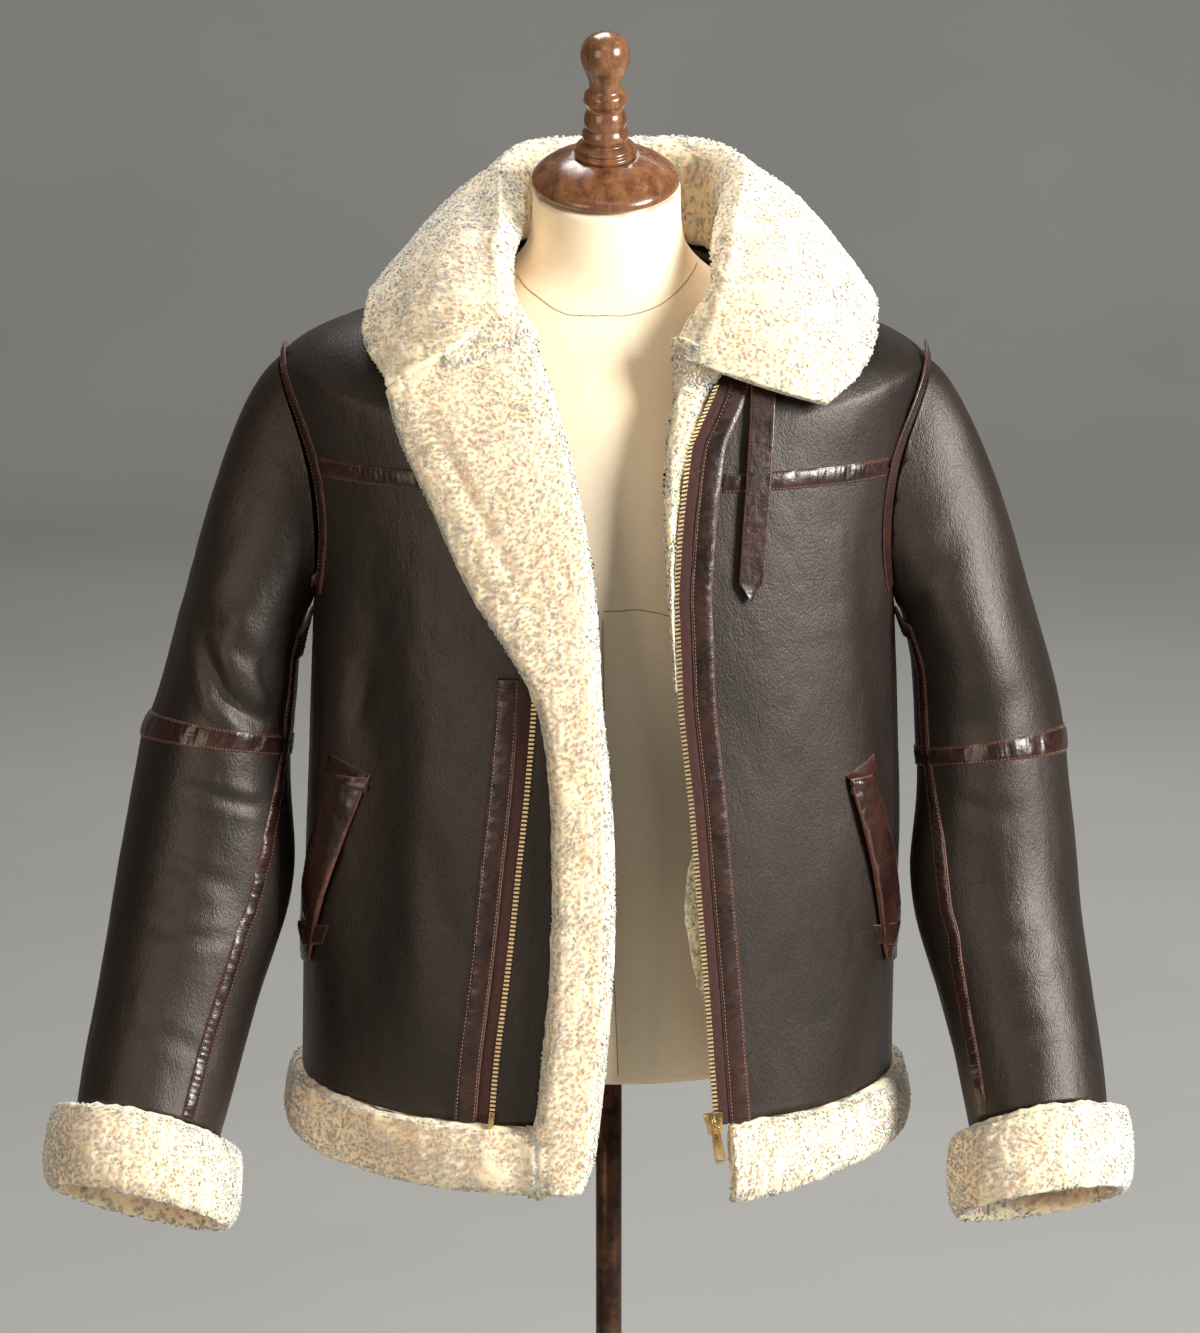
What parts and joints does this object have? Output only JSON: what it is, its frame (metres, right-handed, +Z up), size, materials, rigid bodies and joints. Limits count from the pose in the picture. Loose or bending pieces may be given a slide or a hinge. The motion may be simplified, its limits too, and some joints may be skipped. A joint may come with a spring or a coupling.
{
  "type": "shearling coat on dress form",
  "caption": "Long-sleeved shearling coat with a wide wool collar, hanging open on a limbless dress form with a pole and a round base.",
  "frame": {"origin": "centre of the underside of the round base, on the floor", "axes": "+Z up along the pole, -Y towards the open front, +X towards the wearer's left side"},
  "size_m": [0.8405, 0.3825, 1.565],
  "materials": {
    "leather": "satin, fine pebble grain",
    "trim": "polished",
    "wool": "shearling pile",
    "zip_cloth": "woven herringbone tape",
    "brass": "aged",
    "linen": "fine linen",
    "wood": "worn varnish",
    "bronze": "dark bronze"
  },
  "bodies": {
    "coat_and_form": {"armhole_tape_left": "trim", "armhole_tape_right": "trim", "back_panel": "leather", "base": "bronze", "collar": "wool", "collar_strap": "trim", "cuff_left": "wool", "cuff_right": "wool", "elbow_tape_left": "trim", "elbow_tape_right": "trim", "facing_left": "wool", "finial": "wood", "form_torso": "linen", "front_left_lower": "leather", "front_left_yoke": "leather", "front_right_lower": "leather", "front_right_yoke": "leather", "hem_band": "wool", "lapel_right": "wool", "neck_cap": "wood", "pocket_left": "trim", "pocket_right": "trim", "pole": "bronze", "seam_tape_left_lower": "trim", "seam_tape_left_upper": "trim", "seam_tape_right_lower": "trim", "seam_tape_right_upper": "trim", "sleeve_left_lower": "leather", "sleeve_left_upper": "leather", "sleeve_right_lower": "leather", "sleeve_right_upper": "leather", "slider_bridge": "brass", "yoke_tape_left": "trim", "yoke_tape_right": "trim", "zip_box": "brass", "zip_pin": "brass", "zip_slider": "brass", "zip_strip_left": "trim", "zip_strip_right": "trim", "zip_tape_left": "zip_cloth", "zip_tape_right": "zip_cloth"},
    "pull_tab": {"zip_pull": "brass"}
  },
  "joints": [
    {"name": "pull_tab_hinge", "type": "hinge", "parent": "coat_and_form", "child": "pull_tab", "pos_m": [0.07998, -0.1708, 0.74629], "axis": [-0.9848, 0, -0.1736], "range_deg": [0, 140]}
  ]
}
